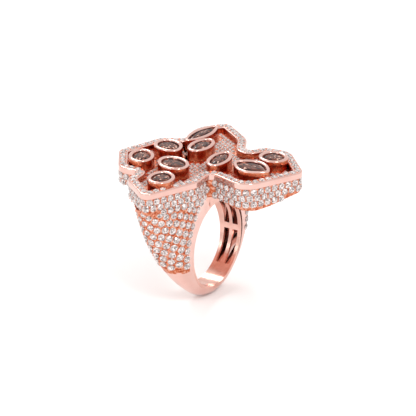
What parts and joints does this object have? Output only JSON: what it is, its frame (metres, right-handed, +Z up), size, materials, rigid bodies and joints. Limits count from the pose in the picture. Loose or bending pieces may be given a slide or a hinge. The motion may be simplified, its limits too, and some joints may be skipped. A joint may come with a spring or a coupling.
{
  "type": "cocktail ring",
  "caption": "Rose-gold cocktail ring: a slotted finger liner and plain shank with pave shoulders carry a four-petal pave tray of bezel-set smoky stones.",
  "frame": {"origin": "centre of the finger hole", "axes": "+Y along the finger hole, +Z up through the head, +X across the finger to the marquise side"},
  "size_m": [0.038, 0.0351, 0.0273],
  "materials": {
    "polished_rose_gold": "polished",
    "pave_rose_gold": "polished, grained with beads",
    "clear_stone": "brilliant cut, clear",
    "smoky_stone": "faceted, smoky grey-brown"
  },
  "bodies": {
    "root": {"finger_liner": "polished_rose_gold", "shank_band": "polished_rose_gold", "shoulder_left": "pave_rose_gold", "shoulder_right": "pave_rose_gold", "gallery": "pave_rose_gold", "wall_front": "pave_rose_gold", "rim_front": "polished_rose_gold", "floor_front": "pave_rose_gold", "wall_right": "pave_rose_gold", "rim_right": "polished_rose_gold", "floor_right": "pave_rose_gold", "wall_back": "pave_rose_gold", "rim_back": "polished_rose_gold", "floor_back": "pave_rose_gold", "wall_left": "pave_rose_gold", "rim_left": "polished_rose_gold", "floor_left": "pave_rose_gold", "bezel_1": "polished_rose_gold", "bezel_2": "polished_rose_gold", "bezel_3": "polished_rose_gold", "bezel_4": "polished_rose_gold", "bezel_5": "polished_rose_gold", "bezel_6": "polished_rose_gold", "bezel_7": "polished_rose_gold", "bezel_8": "polished_rose_gold", "bezel_9": "polished_rose_gold", "smoky_stone_1": "smoky_stone", "smoky_stone_2": "smoky_stone", "smoky_stone_3": "smoky_stone", "smoky_stone_4": "smoky_stone", "smoky_stone_5": "smoky_stone", "smoky_stone_6": "smoky_stone", "smoky_stone_7": "smoky_stone", "smoky_stone_8": "smoky_stone", "smoky_stone_9": "smoky_stone", "shoulder_stones_left": "clear_stone", "shoulder_stones_right": "clear_stone", "wall_stones_front": "clear_stone", "rim_stones_front": "clear_stone", "floor_stones_front": "clear_stone", "wall_stones_right": "clear_stone", "rim_stones_right": "clear_stone", "floor_stones_right": "clear_stone", "wall_stones_back": "clear_stone", "rim_stones_back": "clear_stone", "floor_stones_back": "clear_stone", "wall_stones_left": "clear_stone", "rim_stones_left": "clear_stone", "floor_stones_left": "clear_stone"}
  },
  "joints": []
}
